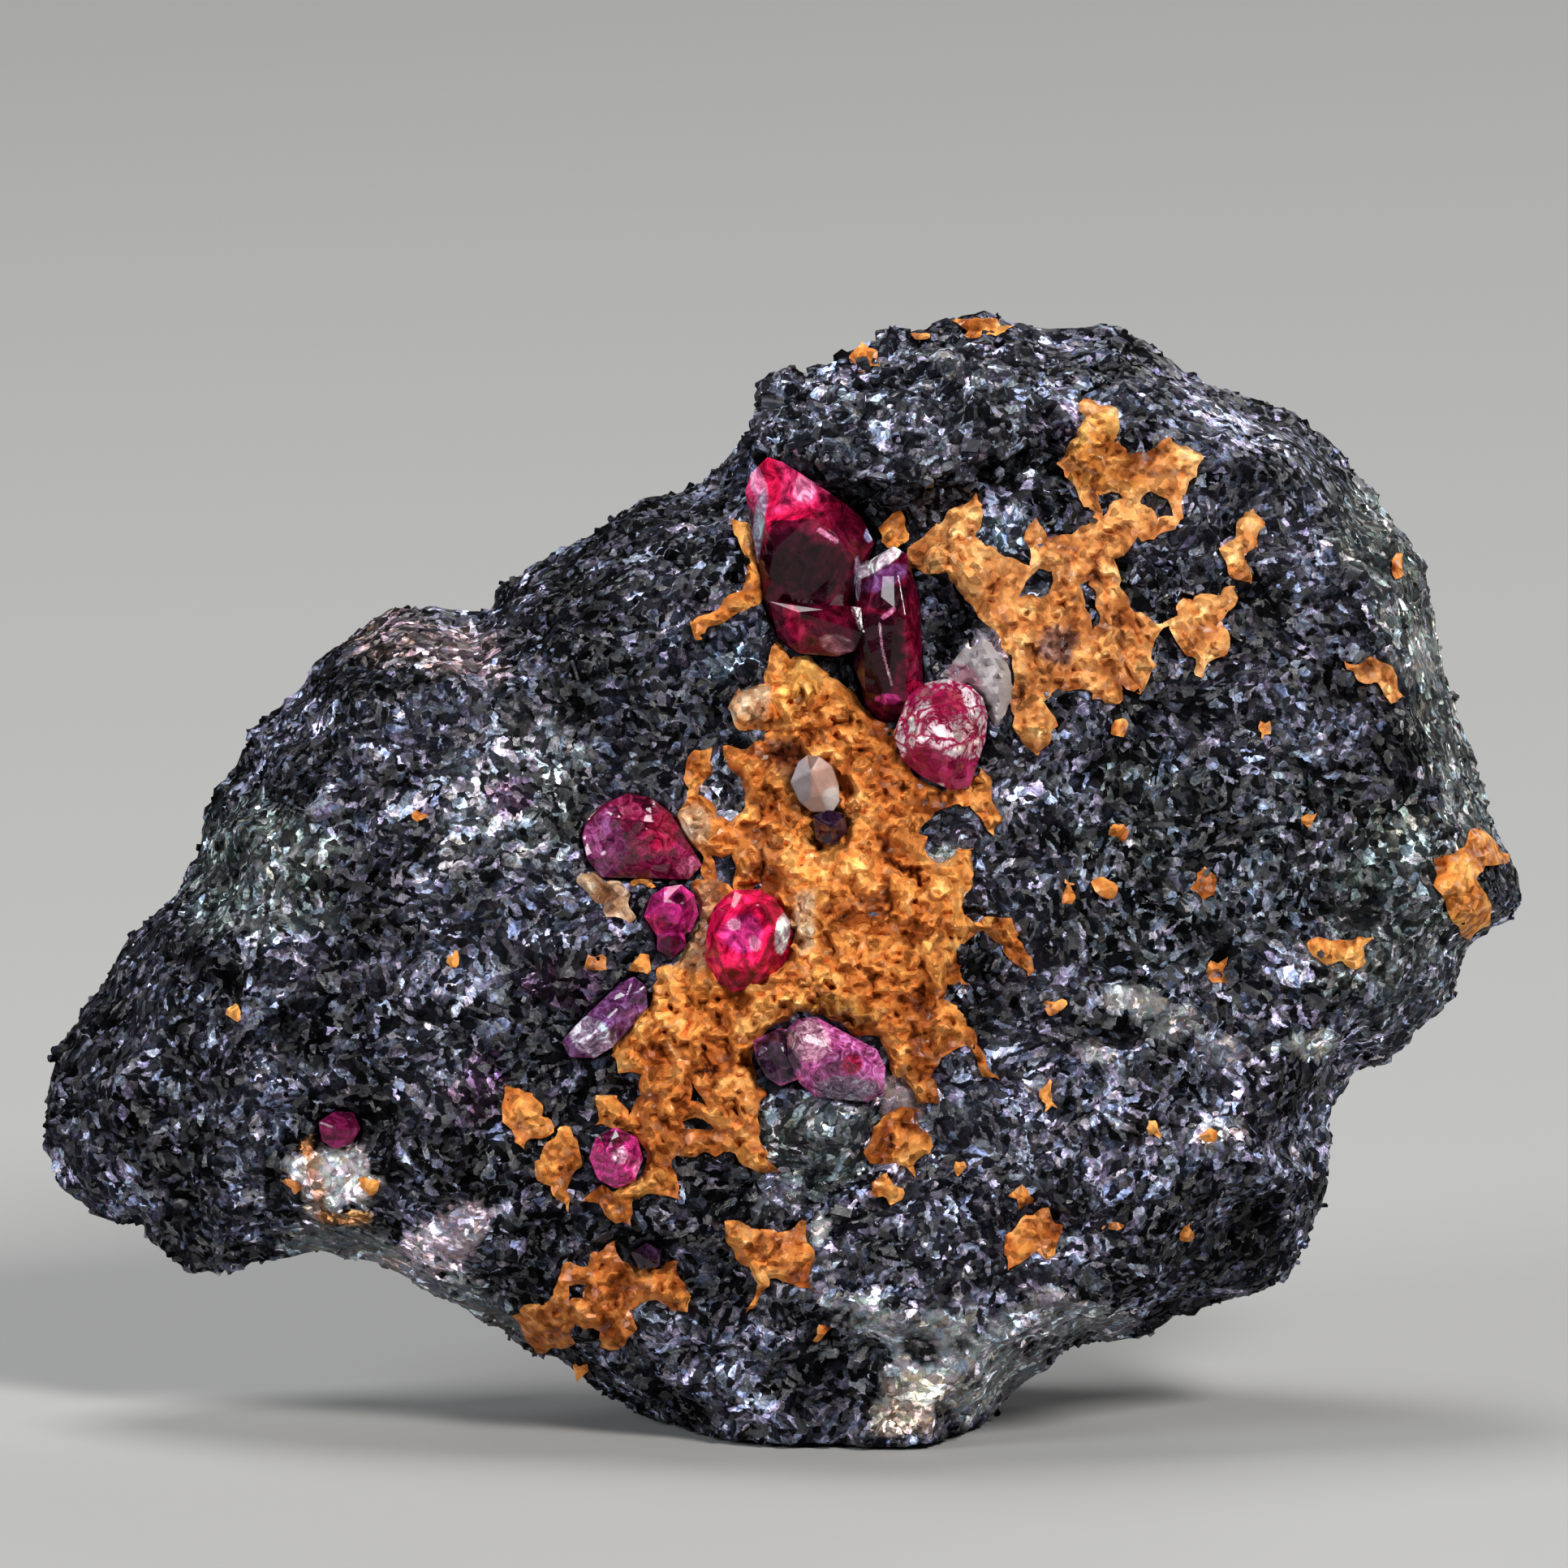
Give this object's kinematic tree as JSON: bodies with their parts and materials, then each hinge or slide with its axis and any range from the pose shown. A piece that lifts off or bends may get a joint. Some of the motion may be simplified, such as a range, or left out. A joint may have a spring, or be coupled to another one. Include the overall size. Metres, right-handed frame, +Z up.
{
  "type": "ruby in matrix",
  "caption": "Hand specimen of dark granular schist with dark red ruby crystals and raised patches of orange-brown crust, standing on a flat foot.",
  "frame": {"origin": "bottom centre of the bounding box, level with the flat foot", "axes": "+X along the length to the right as the broad ruby-bearing face is seen, +Y toward the back, +Z up from the foot"},
  "size_m": [0.08, 0.0324, 0.0589],
  "materials": {
    "schist": "dark granular mica and amphibole schist, glittering grains",
    "ruby": "translucent deep red corundum with glossy flat faces",
    "feldspar": "pale pink feldspar, waxy",
    "ochre": "orange-brown crumpled crust, dull to waxy"
  },
  "bodies": {
    "root": {"matrix": "schist", "ruby_cluster": "ruby", "ruby_speckled": "ruby", "ruby_embedded": "ruby", "ruby_small_round": "ruby", "ruby_bright": "ruby", "ruby_pink": "ruby", "ruby_flat": "ruby", "ruby_low": "ruby", "ruby_dark_small": "ruby", "ruby_far_left": "ruby", "ruby_low_dark": "ruby", "feldspar_flake": "feldspar", "crust_centre": "ochre", "crust_upper": "ochre", "crust_strand": "ochre", "crust_branch": "ochre", "crust_far_right": "ochre", "crust_right": "ochre", "crust_lower_right": "ochre", "crust_cross": "ochre", "crust_lobe": "ochre", "crust_low_lobe": "ochre", "crust_lower_left": "ochre", "crust_lower_middle": "ochre", "crust_pale": "ochre"}
  },
  "joints": []
}
